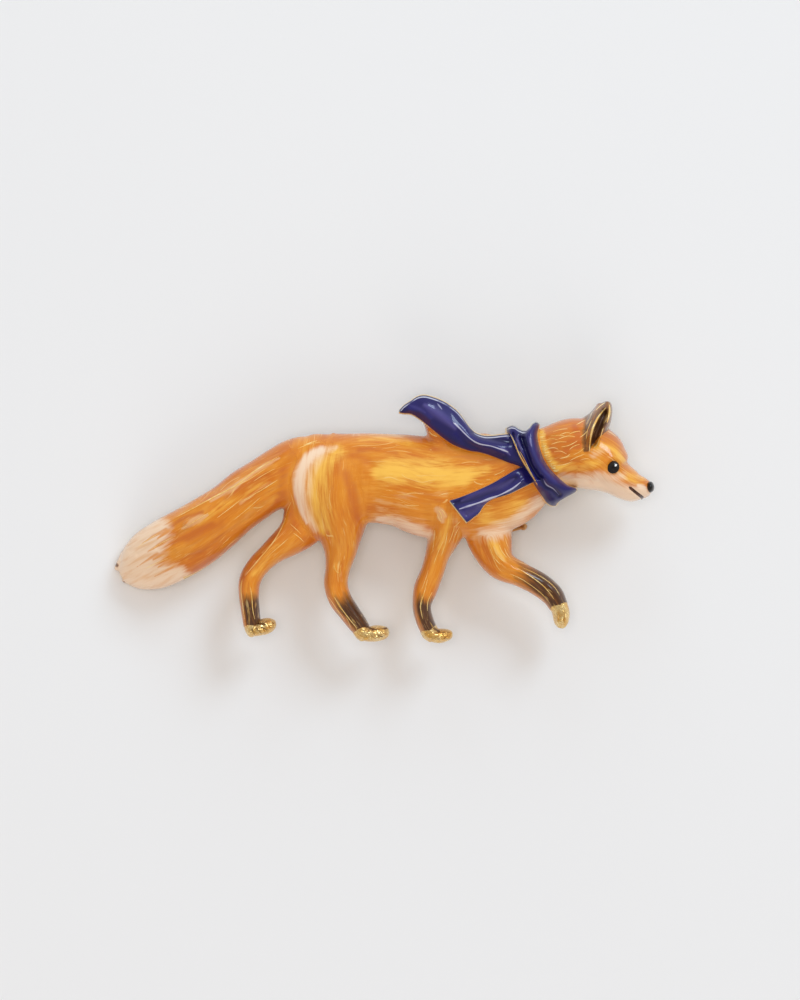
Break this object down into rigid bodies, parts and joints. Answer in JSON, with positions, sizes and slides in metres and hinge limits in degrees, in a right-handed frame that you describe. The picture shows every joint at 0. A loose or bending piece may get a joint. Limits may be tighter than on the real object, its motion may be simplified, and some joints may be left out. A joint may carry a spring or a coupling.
{
  "type": "figural animal brooch",
  "caption": "Enamelled walking fox brooch with a wind-blown scarf, gilt edges and paws, a bead eye and a closed pin clasp on its flat back.",
  "frame": {"origin": "middle of the outline seen from the front, on the surface that the brooch lies on", "axes": "+X from tail to nose, +Y from paws to ears, +Z out of the enamelled front"},
  "size_m": [0.065, 0.0298, 0.0108],
  "materials": {
    "fox_enamel": "orange enamel over gilt metal, glossy",
    "scarf_enamel": "navy enamel, glossy",
    "eye_bead": "black, polished",
    "gilt_clasp": "gilt, satin to polished"
  },
  "bodies": {
    "root": {"fox_body": "fox_enamel", "scarf_wrap": "scarf_enamel", "scarf_flying_end": "scarf_enamel", "scarf_hanging_end": "scarf_enamel", "eye": "eye_bead", "pin_clasp": "gilt_clasp"}
  },
  "joints": []
}
